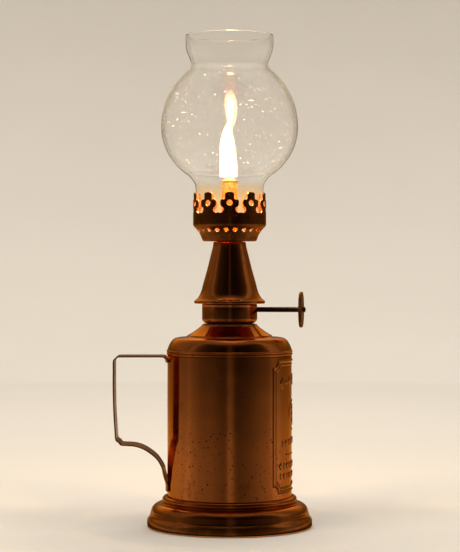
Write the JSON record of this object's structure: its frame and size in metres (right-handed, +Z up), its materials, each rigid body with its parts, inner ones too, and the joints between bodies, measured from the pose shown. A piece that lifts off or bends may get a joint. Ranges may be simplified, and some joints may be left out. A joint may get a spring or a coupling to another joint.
{
  "type": "oil lamp",
  "caption": "Small free-standing brass oil lamp: weighted round foot, cylindrical reservoir with strap handle, screwed conical burner, crown gallery and round glass globe.",
  "frame": {"origin": "centre of the underside of the foot, on the surface that the lamp stands on", "axes": "+Z up along the lamp's axis, -X towards the handle, +X towards the winder knob, which is turned 7 degrees towards -Y"},
  "size_m": [0.1011, 0.084, 0.2499],
  "materials": {
    "brass": "polished, aged to a coppery brown, lightly pitted",
    "steel": "darkened, satin",
    "ballast": "as cast",
    "leather": "oiled, compressed",
    "felt": "pressed felt",
    "cotton": "braided cotton, charred at the top",
    "glass": "clear, hand blown, fine bubbles"
  },
  "bodies": {
    "reservoir": {"foot_shell": "brass", "ballast_weight": "ballast", "bottom_plate": "brass", "reservoir_shell": "brass", "reservoir_floor": "brass", "reservoir_shoulder": "brass", "neck_ring": "brass", "felt_ring_1": "felt", "felt_ring_2": "felt", "felt_ring_3": "felt", "felt_ring_4": "felt", "felt_ring_5": "felt", "felt_ring_6": "felt", "handle_strap": "brass"},
    "gasket": {"neck_gasket": "leather"},
    "burner": {"burner_drum": "brass", "drum_lid": "brass", "threaded_plug": "brass", "wick_tube": "brass", "burner_cone": "brass", "spindle_bush": "brass", "spindle_bracket": "brass"},
    "wick_drive": {"spindle": "steel", "knob_disc": "brass", "knob_rivet": "steel", "wick_sprocket": "steel"},
    "wick": {"wick": "cotton"},
    "gallery": {"gallery_crown": "brass", "gallery_floor": "brass"},
    "globe": {"glass_globe": "glass"}
  },
  "joints": [
    {"name": "burner_rise", "type": "slide", "parent": "reservoir", "child": "gasket", "axis": [0, 0, 1], "range_m": [0, 0.00601]},
    {"name": "burner_turn", "type": "hinge", "parent": "gasket", "child": "burner", "pos_m": [0, 0, 0.1033], "axis": [0, 0, 1], "range_deg": [0, 1440]},
    {"name": "wick_turn", "type": "hinge", "parent": "burner", "child": "wick_drive", "pos_m": [0.00077, 0.00625, 0.1101], "axis": [-0.9925, 0.1219, 0], "range_deg": [-163, 61]},
    {"name": "wick_rise", "type": "slide", "parent": "burner", "child": "wick", "axis": [0, 0, 1], "range_m": [-0.008, 0.003]},
    {"name": "gallery_lift", "type": "slide", "parent": "burner", "child": "gallery", "axis": [0, 0, 1], "range_m": [0, 0.035]},
    {"name": "globe_lift", "type": "slide", "parent": "gallery", "child": "globe", "axis": [0, 0, 1], "range_m": [0, 0.04]}
  ],
  "couplings": [
    {"joint": "burner_rise", "follows": "burner_turn", "m_per_rad": 0.00023873},
    {"joint": "wick_rise", "follows": "wick_turn", "m_per_rad": 0.0028}
  ]
}
